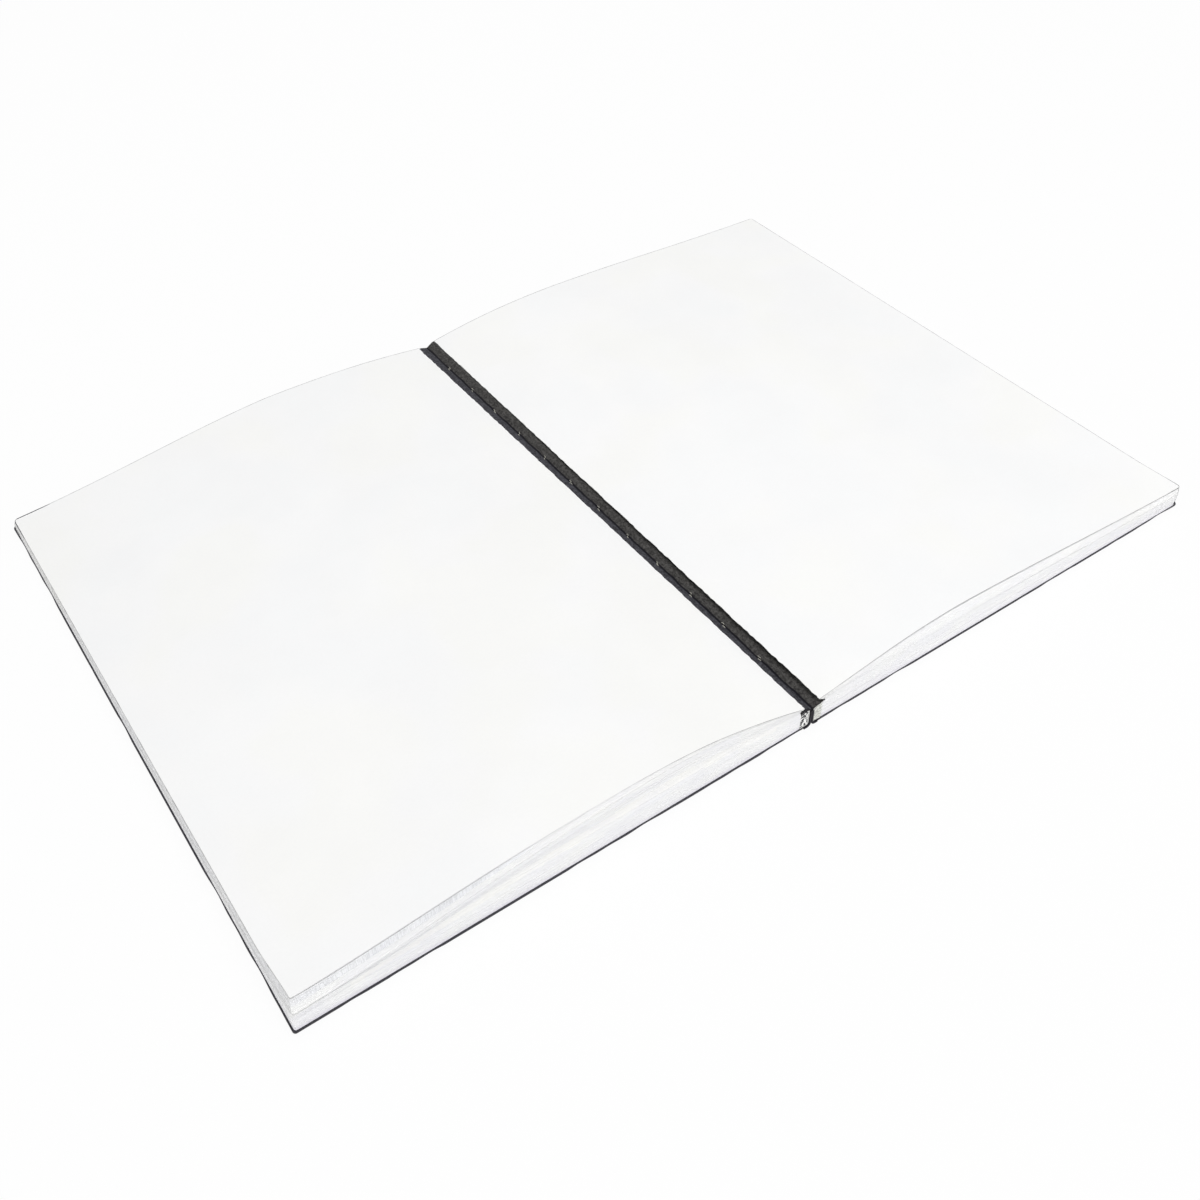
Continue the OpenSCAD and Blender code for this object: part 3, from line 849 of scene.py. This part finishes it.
class SKETCHBOOK_OT_stage(bpy.types.Operator):
    """Lay the pale floor, hang the soft light and set the camera"""

    bl_idname = "sketchbook.stage"
    bl_label = "Stage"

    def execute(self, context):
        scene = context.scene
        stage = scene.sketchbook_stage
        colours = scene.sketchbook_colours
        scene.view_settings.view_transform = "Standard"
        self.camera(scene, stage)
        self.world(scene, stage, tuple(colours.floor))
        self.floor(stage, tuple(colours.floor))
        self.lamps(scene, stage)
        return {"FINISHED"}

    def camera(self, scene, stage):
        azimuth, elevation = math.radians(stage.azimuth), math.radians(stage.elevation)
        roll = math.radians(stage.roll)
        back = Vector(
            (
                math.sin(azimuth) * math.cos(elevation),
                -math.cos(azimuth) * math.cos(elevation),
                math.sin(elevation),
            )
        )
        right = Vector((math.cos(azimuth), math.sin(azimuth), 0))
        up = back.cross(right)
        turned = right * math.cos(roll) + up * math.sin(roll)
        upright = up * math.cos(roll) - right * math.sin(roll)
        place = Vector((stage.target_x, stage.target_y, 0)) + back * stage.distance
        lens = bpy.data.cameras.new("camera")
        lens.sensor_width = 36
        lens.lens = stage.focal
        lens.clip_start, lens.clip_end = 0.01, 50
        camera = bpy.data.objects.new("camera", lens)
        rows = [(turned[i], upright[i], back[i], place[i]) for i in range(3)]
        camera.matrix_world = Matrix([*rows, (0, 0, 0, 1)])
        scene.collection.objects.link(camera)
        scene.camera = camera

    def seen(self, tree):
        """1 for a ray from the camera, and for what gloss and glass see."""
        path = tree.nodes.new("ShaderNodeLightPath")
        total = path.outputs["Is Camera Ray"]
        for name in ("Is Glossy Ray", "Is Transmission Ray"):
            add = tree.nodes.new("ShaderNodeMath")
            add.operation = "MAXIMUM"
            tree.links.new(total, add.inputs[0])
            tree.links.new(path.outputs[name], add.inputs[1])
            total = add.outputs[0]
        return total

    def chosen(self, tree, factor, shaders, output):
        """Sends a mix of two shaders to the output."""
        mixed = tree.nodes.new("ShaderNodeMixShader")
        sources = (factor, *(shader.outputs[0] for shader in shaders))
        for source, socket in zip(sources, mixed.inputs):
            tree.links.new(source, socket)
        tree.links.new(mixed.outputs[0], tree.nodes.new(output).inputs["Surface"])

    def world(self, scene, stage, backdrop):
        world = bpy.data.worlds.new("studio")
        world.use_nodes = True
        tree = world.node_tree
        tree.nodes.clear()
        sky = tree.nodes.new("ShaderNodeBackground")
        sky.inputs["Color"].default_value = (1, 1, 1, 1)
        sky.inputs["Strength"].default_value = stage.sky
        wall = tree.nodes.new("ShaderNodeBackground")
        wall.inputs["Color"].default_value = (*backdrop, 1)
        wall.inputs["Strength"].default_value = 1
        self.chosen(tree, self.seen(tree), (sky, wall), "ShaderNodeOutputWorld")
        scene.world = world

    def floor(self, stage, backdrop):
        half, drop = stage.floor_size / 2, 0.05 * MM
        signs = ((-1, -1), (1, -1), (1, 1), (-1, 1))
        corners = [(half * across, half * along, -drop) for across, along in signs]
        mesh = bpy.data.meshes.new("floor")
        mesh.from_pydata(corners, [], [(0, 1, 2, 3)])
        material = bpy.data.materials.new("floor")
        material.use_nodes = True
        tree = material.node_tree
        tree.nodes.clear()
        matt = tree.nodes.new("ShaderNodeBsdfDiffuse")
        matt.inputs["Color"].default_value = FLOOR_MATT
        plain = tree.nodes.new("ShaderNodeEmission")
        plain.inputs["Color"].default_value = (*backdrop, 1)
        part = tree.nodes.new("ShaderNodeMath")
        part.operation = "MULTIPLY"
        part.inputs[1].default_value = FLOOR_PLAIN
        tree.links.new(self.seen(tree), part.inputs[0])
        self.chosen(tree, part.outputs[0], (matt, plain), "ShaderNodeOutputMaterial")
        mesh.materials.append(material)
        floor = bpy.data.objects.new("floor", mesh)
        bpy.context.scene.collection.objects.link(floor)

    def lamps(self, scene, stage):
        for name, place, size, power in (
            ("top_softbox", (0.18, -0.12, 1.9), 1.4, stage.top_light),
            ("front_softbox", (0.45, -1.4, 0.35), 1.0, stage.front_light),
            ("left_softbox", (-1.5, -0.35, 0.15), 0.6, stage.left_light),
        ):
            lamp = bpy.data.lights.new(name, "AREA")
            lamp.shape = "SQUARE"
            lamp.size = size
            lamp.energy = power
            softbox = bpy.data.objects.new(name, lamp)
            softbox.location = place
            softbox.rotation_euler = Vector(place).to_track_quat("Z", "Y").to_euler()
            scene.collection.objects.link(softbox)


class SKETCHBOOK_OT_flat_leaves(bpy.types.Operator):
    """Stack the flat leaves of each lot, folded in sections at the binding edge"""

    bl_idname = "sketchbook.flat_leaves"
    bl_label = "Flat leaves"

    def execute(self, context):
        leaves = context.scene.sketchbook_leaves
        colours = context.scene.sketchbook_colours
        for side in sides(leaves):
            chance = random.Random(11 if side.sign < 0 else 12)
            lot = self.lot(side, leaves.lot_layers, chance)
            lot = lot.piece(side.name + "_flat_leaves", leaf_papers(colours))
            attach(lot, side.name + "_half")
            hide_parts(side.name + "_pages")
        return {"FINISHED"}

    def lot(self, side, n, chance):
        mesh = Mesh()
        for k in range(n):
            middle = mix(LOT_BOTTOM, FLAT_HEIGHT, (k + 0.5) / n)
            part = (k % 5 + 0.5) / 5
            fold = 1.3 * (1 - math.sqrt(max(0.0, 1 - (2 * part - 1) ** 2)))
            near = binding_edge(middle) + fold
            if middle > LINING_HIGH[2]:
                near = TAPE_HIGH[0] + 0.1
            outer = FORE_EDGE - mix(side.lowest, side.lot_setback, k / n) - chance.uniform(0, CUT)
            back = chance.uniform(0, 0.12)
            outline = leaf_outline(lambda y: near, lambda y: outer, 5.0, side.corner)
            add_band(
                mesh,
                side,
                outline,
                lambda d, y: mix(LOT_BOTTOM, side.flat(d, y), (k + 1) / n) - 0.01,
                lambda d, y: mix(LOT_BOTTOM, side.flat(d, y), k / n),
                2.5,
                lambda d, z: back + side.hollow(d, z),
            )
            if k == 0:
                end = HALF_HEIGHT - 1
                sheet = [(clamp(d, near + 1, outer - 1), clamp(y, -end, end)) for d, y in outline]
                sheet = list(dict.fromkeys(sheet))
                add_sheet(mesh, side, sheet, LOT_BOTTOM + 0.02, LOT_BOTTOM + 0.17)
        return mesh


class SKETCHBOOK_OT_sprung_leaves(bpy.types.Operator):
    """Fan the upper leaves of each half up in an arch, and lay the top leaf over them"""

    bl_idname = "sketchbook.sprung_leaves"
    bl_label = "Sprung leaves"

    def execute(self, context):
        leaves = context.scene.sketchbook_leaves
        colours = context.scene.sketchbook_colours
        materials = leaf_papers(colours)
        for side in sides(leaves):
            n = getattr(leaves, side.name + "_layers")
            chance = random.Random(21 if side.sign < 0 else 22)
            found = []
            for k in range(0, n - 1, 2):
                mesh = Mesh()
                for layer in (k, k + 1):
                    if layer < n - 1:
                        self.layer(mesh, side, layer, n, chance)
                name = "{}_sprung_leaves_{:02d}".format(side.name, k // 2 + 1)
                found.append((mesh.piece(name, materials), (k + 1) / n))
            top = self.top_leaf(side, random.Random(25 + side.sign))
            found.append((top.piece(side.name + "_top_leaf", (materials[PAGE], materials[RIM_SHADE])), 1.0))
            for piece, part in found:
                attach(piece, side.name + "_half")
                self.flatten(piece, side, part)
            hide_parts(side.name + "_leaves")
        return {"FINISHED"}

    def start_of_layer(self, side, part):
        """A low layer starts past the tape, and the top one beside the gutter."""
        return lambda y: side.start_of(y) + (1 - part) * mix(2.6, 1.4, share(y))

    def layer(self, mesh, side, k, n, chance):
        cut = chance.uniform(0, CUT)
        back, wave = chance.uniform(0, 0.1), chance.uniform(0, 6.28)
        loose = k >= n - side.loose(n)
        outline = leaf_outline(
            self.start_of_layer(side, k / n),
            lambda y: side.reach(y, k / n) - cut,
            2.4 if loose else 5.0,
            side.corner,
        )
        groove = side.groove if k == side.close(n) else 0.02

        def lower(d, y):
            return side.level(k, n, d, y) + groove

        def upper(d, y):
            low, high = side.level(k, n, d, y), side.level(k + 1, n, d, y)
            ripple = 0.06 * math.sin(d / 9.0 + wave) * min(1.0, high - low) if loose else 0.0
            return mix(low, high, 0.97) + ripple

        add_band(
            mesh,
            side,
            outline,
            upper,
            lower,
            2.6,
            lambda d, z: side.setback(k, n, d, z) + back,
        )

    def top_leaf(self, side, chance):
        """The whole top leaf, gently cockled, as one thin closed sheet."""
        mesh = Mesh()
        h = HALF_HEIGHT
        ends = [h - inset for inset in (2.2, 1.5, 0.95, 0.6, 0.36, 0.12, 0.0)]
        rows = [-y for y in reversed(ends)]
        middle = 150
        rows += [mix(-ends[0], ends[0], j / middle) for j in range(1, middle)]
        rows += ends
        ragged = [chance.uniform(-0.2, 0.2) for _ in rows]
        columns = 88
        rim_insets = {columns: 0.0, columns - 1: 0.12, columns - 2: 0.3, columns - 3: 0.6}
        sheets = []
        for lift in (0.0, -LEAF):
            grid = []
            for y, uneven in zip(rows, ragged):
                corner = side.corner[0] if y < 0 else side.corner[1]
                past = max(0.0, abs(y) - (h - corner))
                cut = corner - math.sqrt(max(0.0, corner * corner - past * past))
                outer = side.reach(y, 1.0) - cut
                first = side.start_of(y) + uneven
                for i in range(columns + 1):
                    d = mix(first, outer - 1.2, (i / (columns - 4)) ** 1.2)
                    if i in rim_insets:
                        d = outer - rim_insets[i]
                    cockle = 0.05 * math.sin(d / 17 + y / 31) * math.sin(d / 41 - y / 23 + 1)
                    shift = side.top_setback(d) * (1 - ease((y + h) / 12))
                    z = side.top(d, y) + lift + cockle * ease((d - 6) / 20)
                    grid.append(side.at(d, y + shift, z))
            sheets.append(len(mesh.points))
            mesh.points += grid
        w, m = columns + 1, len(rows)
        for first in sheets:
            for j in range(m - 1):
                for i in range(columns):
                    a = first + j * w + i
                    # Cells along the rim, and more round the left corner at the head, take slot 1, the
                    # rim's painted shade; the rim faces below take it too.
                    edge_band = i >= columns - 2 or j < 1 or j >= m - 3
                    edge_band = edge_band or (side.sign < 0 and i > columns - 10 and j >= m - 4)
                    mesh.face((a, a + 1, a + w + 1, a + w), 1 if edge_band else 0, True)
        rim = [i for i in range(columns)]
        rim += [j * w + columns for j in range(m - 1)]
        rim += [(m - 1) * w + i for i in range(columns, 0, -1)]
        rim += [j * w for j in range(m - 1, 0, -1)]
        for a, b in zip(rim, rim[1:] + rim[:1]):
            mesh.face((sheets[0] + a, sheets[0] + b, sheets[1] + b, sheets[1] + a), 1)
        return mesh

    def flatten(self, piece, side, part):
        """Gives a layer its own copy of its mesh; the plane that it would lie in as the book closes is
        worked out but not used.
        """
        foot, head = side.flat(FORE_EDGE, -HALF_HEIGHT), side.flat(FORE_EDGE, HALF_HEIGHT)
        rise = FLAT_HEIGHT - max(foot, head)

        def plane(d, y):
            low = mix(foot, head, share(y)) + rise * (1 - d / FORE_EDGE)
            return mix(low, CLOSED_TOP, part)

        z0 = plane(0, 0)
        by_d = (plane(FORE_EDGE, 0) - z0) / FORE_EDGE
        by_y = (plane(0, HALF_HEIGHT) - plane(0, -HALF_HEIGHT)) / (2 * HALF_HEIGHT)
        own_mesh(piece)


class SKETCHBOOK_OT_linings(bpy.types.Operator):
    """Finish the paper linings and the endpapers of the frame"""

    bl_idname = "sketchbook.linings"
    bl_label = "Linings and endpapers"

    def execute(self, context):
        colours = context.scene.sketchbook_colours
        lining = kept("lining_paper", lambda n: paper_material(n, tuple(colours.lining)))
        endpaper = kept("endpaper_paper", lambda n: paper_material(n, tuple(colours.endpaper)))
        for side in ("left", "right"):
            for node, material in (("_lining", lining), ("_endpaper", endpaper)):
                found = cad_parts[side + node]
                found.data.materials.clear()
                found.data.materials.append(material)
        return {"FINISHED"}


class SKETCHBOOK_OT_covers(bpy.types.Operator):
    """Make the two thin covers with soft rubbed edges"""

    bl_idname = "sketchbook.covers"
    bl_label = "Covers"

    def execute(self, context):
        colours = context.scene.sketchbook_colours
        material = kept("cover_leather", lambda n: cover_material(n, tuple(colours.cover)))
        for sign, side in ((-1, "left"), (1, "right")):
            mesh = self.cover(sign, random.Random(31 + sign), 0.3 if sign < 0 else 0.45)
            cover = mesh.piece(side + "_cover_board", (material,))
            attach(cover, side + "_cover")
            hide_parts(side + "_cover")
        return {"FINISHED"}

    def cover(self, sign, chance, back):
        """A board whose edge is a stack of outlines, each drawn in a little further.

        back is how far its foot edge lies back from the frame's.
        """
        thick, round_off = COVER_HIGH[2], 0.32
        x0, x1, h = COVER_LOW[0], COVER_HIGH[0], COVER_HIGH[1]
        profile = [(2.5, 0.0), (round_off, 0.0), (0.09, 0.1), (0.0, round_off)]
        profile += [(0.0, thick - round_off), (0.09, thick - 0.1), (round_off, thick), (2.5, thick)]
        phases = [chance.uniform(0, 6.28) for _ in range(4)]
        foot, head = COVER_CORNERS
        arc = [math.radians(90 * i / 6) for i in range(6)]
        outline = [(mix(x0, x1 - foot, i / 110), -h) for i in range(110)]
        outline += [(x1 - foot + foot * math.sin(a), -h + foot - foot * math.cos(a)) for a in arc]
        outline += [(x1, mix(-h + foot, h - head, i / 110)) for i in range(110)]
        outline += [(x1 - head + head * math.cos(a), h - head + head * math.sin(a)) for a in arc]
        outline += [(mix(x1 - head, x0, i / 70), h) for i in range(70)]
        outline += [(x0, mix(h, -h, i / 70)) for i in range(70)]
        mesh = Mesh()
        stations = []
        for x, y in outline:
            station = []
            corner = foot if y < 0 else head
            waves = ((13, 17, 0.17), (5, 7, 0.13), (2.3, 2.9, 0.09), (31, 37, 0.12))
            drift = sum(
                size * math.sin(x / long + y / wide + phase)
                for (long, wide, size), phase in zip(waves, phases)
            )
            for inset, z in profile:
                move = inset + max(0.0, drift)
                u = clamp(x, x0 + move, x1 - move) if x1 - x > corner or abs(y) < h - corner else x
                v = clamp(y, -h + move, h - move)
                if x > x1 - corner and abs(y) > h - corner:
                    cx, cy = x1 - corner, math.copysign(h - corner, y)
                    reach = max(0.05, corner - move)
                    u, v = cx + (x - cx) / corner * reach, cy + (y - cy) / corner * reach
                v += back * ease((-y - h + 6) / 5)
                station.append((sign * u * MM, v * MM, z * MM))
            stations.append(station)
        size, n = len(profile), len(stations)
        for station in stations:
            mesh.points += station
        for i in range(n):
            a, b = i * size, (i + 1) % n * size
            for s in range(size - 1):
                mesh.face((a + s, a + s + 1, b + s + 1, b + s), 0, 0 < s < size - 2)
        mesh.face(tuple(i * size for i in range(n)))
        mesh.face(tuple(i * size + size - 1 for i in range(n)))
        return mesh


class SKETCHBOOK_OT_gutter_tape(bpy.types.Operator):
    """Weave the black tape that runs down the gutter, creased in the middle"""

    bl_idname = "sketchbook.gutter_tape"
    bl_label = "Gutter tape"

    def execute(self, context):
        spine = context.scene.sketchbook_spine
        colours = context.scene.sketchbook_colours
        material = kept("tape_weave", lambda n: tape_material(n, tuple(colours.tape)))
        tape = tape_mesh(spine).piece("gutter_tape_weave", (material,))
        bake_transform(tape)
        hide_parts("gutter_tape")
        return {"FINISHED"}


def tape_top(spine, x, y, lifted=True):
    """Height of the tape: a crease in the middle, and a climb on the right at the head.

    lifted adds the end that stands off the left lot at the foot.
    """
    reach = spine.dip_reach / MM
    v = share(y)
    dip = mix(spine.dip_foot, spine.dip_head, v) / MM
    z = TAPE_HIGH[2] - dip * max(0.0, 1 - abs(x) / reach) ** 1.15
    frayed = 1 - ease((y + HALF_HEIGHT) / 5)
    z += frayed * 0.6 * ease((x - 3.6) / 1.6)
    if lifted:
        z += frayed * 1.2 * ease((-x - 0.4) / 1.8)
    start = mix(3.5, 4.6, v)
    if x > 0:
        climb = 1.15 * v**1.5
        z += climb * (ease(x / start) if x < start else 1 - ease((x - start) / 3.2))
    return z


def tape_mesh(spine):
    mesh = Mesh()
    half = TAPE_HIGH[0]
    thick = spine.tape_thickness / MM
    across = [mix(-half, half, i / 64) for i in range(65)]
    rows = 148
    chance = random.Random(41)
    wave = [chance.uniform(0, 6.28) for _ in range(4)]
    stations = []
    for j in range(rows + 1):
        y = mix(-HALF_HEIGHT - 0.25, HALF_HEIGHT, j / rows)
        top, low = [], []
        frayed = 1 - ease((y + HALF_HEIGHT) / 4)
        for x in across:
            x *= 1 + 0.1 * frayed * (x > 0)
            pucker = 0.05 * math.sin(y / 3.1 + wave[0] + x)
            pucker += 0.04 * math.sin(y / 7.7 + wave[1] - x * 0.7)
            z = tape_top(spine, x, y) + pucker * ease((3.4 - abs(x)) / 2)
            top.append((x * MM, y * MM, z * MM))
            low.append((x * MM, y * MM, (min(z, tape_top(spine, x, y, False)) - thick) * MM))
        stations.append(top + low[::-1])
    mesh.tube(stations)
    return mesh


class SKETCHBOOK_OT_spine_cloth(bpy.types.Operator):
    """Fold the spine cloth up between the lots and turn it to each cover"""

    bl_idname = "sketchbook.spine_cloth"
    bl_label = "Spine cloth"

    def execute(self, context):
        spine = context.scene.sketchbook_spine
        colours = context.scene.sketchbook_colours
        base = tuple(colours.cloth)
        material = kept("spine_weave", lambda n: woven_material(n, base, 0.3, 0.05, 0.05))
        fold = self.fold(spine).piece("spine_cloth_fold", (material,))
        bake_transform(fold)
        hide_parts("spine_cloth")
        for sign, side in ((-1, "left"), (1, "right")):
            flange = self.flange(spine, sign).piece(side + "_cloth_flange", (material,))
            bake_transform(flange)
        return {"FINISHED"}

    def section(self, spine):
        """Right half of the fold's section, from the crown to the cover: (outer, inner) pairs."""
        gap, thick = spine.fold_gap / MM / 2, spine.cloth_thickness / MM
        bend = spine.cloth_bend / MM
        face = gap + thick
        crown, cover = CLOTH_HIGH[2] - face, COVER_HIGH[2]
        turn_x, turn_z = face + bend, cover + bend
        pairs = [
            (on_circle(0, crown, face, 90 - 90 * i / 16), on_circle(0, crown, gap, 90 - 90 * i / 16))
            for i in range(17)
        ]
        pairs += [((face, z), (gap, z)) for z in [mix(crown, turn_z, i / 8) for i in range(1, 9)]]
        pairs += [
            (on_circle(turn_x, turn_z, bend, a), on_circle(turn_x, turn_z, bend + thick, a))
            for a in [180 + 9 * i for i in range(1, 11)]
        ]
        return pairs

    def fold(self, spine):
        pairs = self.section(spine)
        upper = [p[0] for p in pairs]
        lower = [p[1] for p in pairs]
        top, low = self.whole(upper), self.whole(lower)
        loop = top + low[::-1]
        mesh = Mesh()
        rows = 60
        h = CLOTH_HIGH[1]
        stations = []
        for j in range(rows + 1):
            y = mix(-h, h, j / rows)
            stations.append([(x * MM, y * MM, z * MM) for x, z in loop])
        mesh.tube(stations)
        return mesh

    def whole(self, points):
        """Both halves, with more points near the middle, where the cloth turns."""
        (x0, z0), (x1, z1) = points[0], points[1]
        near = [(mix(x0, x1, t), mix(z0, z1, t)) for t in (0.15, 0.3, 0.45, 0.6, 0.75, 0.9)]
        half = near + points[1:]
        return [(-x, z) for x, z in reversed(half)] + [points[0]] + half

    def flange(self, spine, sign):
        """The short flat strip of cloth beside a cover."""
        thick, cover = spine.cloth_thickness / MM, COVER_HIGH[2]
        x0, x1, h = self.section(spine)[-1][0][0], COVER_LOW[0] - 0.02, CLOTH_HIGH[1]
        mesh = Mesh()
        stations = []
        for j in range(61):
            y = mix(-h, h, j / 60)
            top = [(mix(x0, x1, i / 8), cover) for i in range(9)]
            low = [(mix(x1, x0, i / 8), cover - thick) for i in range(9)]
            stations.append([(sign * x * MM, y * MM, z * MM) for x, z in top + low])
        mesh.tube(stations, smooth=False)
        return mesh


class SKETCHBOOK_OT_stitches(bpy.types.Operator):
    """Lay the pale sewing stitches in the crease of the tape"""

    bl_idname = "sketchbook.stitches"
    bl_label = "Stitches"

    def execute(self, context):
        spine = context.scene.sketchbook_spine
        colours = context.scene.sketchbook_colours
        material = kept("linen_thread", lambda n: thread_material(n, tuple(colours.thread)))
        chance = random.Random(51)
        mesh = Mesh()
        long = spine.stitch_length / MM
        first = THREAD_LOW[1] + long / 2
        last = THREAD_HIGH[1] - long / 2
        n = spine.stitches
        for k in range(n):
            y = mix(first, last, k / max(1, n - 1))
            self.stitch(mesh, spine, y + chance.uniform(-0.6, 0.6), chance)
        stitches = mesh.piece("linen_stitches", (material,))
        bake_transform(stitches)
        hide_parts("sewing_thread")
        return {"FINISHED"}

    def stitch(self, mesh, spine, y, chance):
        """Two short strands on either side of the crease, dipping into the tape at both ends."""
        thread = spine.thread / MM
        for beside in (-1, 1):
            long = spine.stitch_length / MM * chance.uniform(0.5, 0.75)
            slant, strand = chance.uniform(-0.5, 0.5), chance.uniform(0, 6.28)
            aside, along = beside * chance.uniform(0.25, 0.6), beside * chance.uniform(0.2, 0.9)
            stations = []
            for i in range(15):
                t = i / 14
                turn = strand + t * math.pi * 3
                x = aside + slant * (t - 0.5) + 0.05 * math.cos(turn)
                arch = math.sin(math.pi * t)
                z = tape_top(spine, x, y) + thread * 0.5 * arch**0.5 - 0.12 + 0.05 * math.sin(turn)
                radius = thread * 0.27 * (0.55 + 0.45 * arch**0.4)
                place = (y + along + (t - 0.5) * long) * MM
                section = [on_circle(x, z, radius, 45 * s) for s in range(8)]
                stations.append([(u * MM, place, v * MM) for u, v in section])
            mesh.tube(stations)


class SKETCHBOOK_PT_pieces(bpy.types.Panel):
    """Lists the sketchbook's pieces in the sidebar"""

    bl_idname = "SKETCHBOOK_PT_pieces"
    bl_label = "Opened Sketchbook"
    bl_space_type = "VIEW_3D"
    bl_region_type = "UI"
    bl_category = "Sketchbook"

    def draw(self, context):
        for operator in OPERATORS:
            self.layout.operator(operator.bl_idname)


OPERATORS = (
    SKETCHBOOK_OT_stage,
    SKETCHBOOK_OT_covers,
    SKETCHBOOK_OT_flat_leaves,
    SKETCHBOOK_OT_sprung_leaves,
    SKETCHBOOK_OT_linings,
    SKETCHBOOK_OT_spine_cloth,
    SKETCHBOOK_OT_gutter_tape,
    SKETCHBOOK_OT_stitches,
)
GROUPS = {
    "sketchbook_leaves": SketchbookLeaves,
    "sketchbook_spine": SketchbookSpine,
    "sketchbook_colours": SketchbookColours,
    "sketchbook_stage": SketchbookStage,
}


def register():
    for group in GROUPS.values():
        bpy.utils.register_class(group)
    for name, group in GROUPS.items():
        setattr(bpy.types.Scene, name, bpy.props.PointerProperty(type=group))
    for operator in OPERATORS:
        bpy.utils.register_class(operator)
    bpy.utils.register_class(SKETCHBOOK_PT_pieces)


def unregister():
    bpy.utils.unregister_class(SKETCHBOOK_PT_pieces)
    for operator in reversed(OPERATORS):
        bpy.utils.unregister_class(operator)
    for name, group in reversed(list(GROUPS.items())):
        delattr(bpy.types.Scene, name)
        bpy.utils.unregister_class(group)


def main():
    register()
    bpy.ops.sketchbook.stage()
    bpy.ops.sketchbook.covers()
    bpy.ops.sketchbook.flat_leaves()
    bpy.ops.sketchbook.sprung_leaves()
    bpy.ops.sketchbook.linings()
    bpy.ops.sketchbook.spine_cloth()
    bpy.ops.sketchbook.gutter_tape()
    bpy.ops.sketchbook.stitches()


if __name__ == "__main__":
    main()
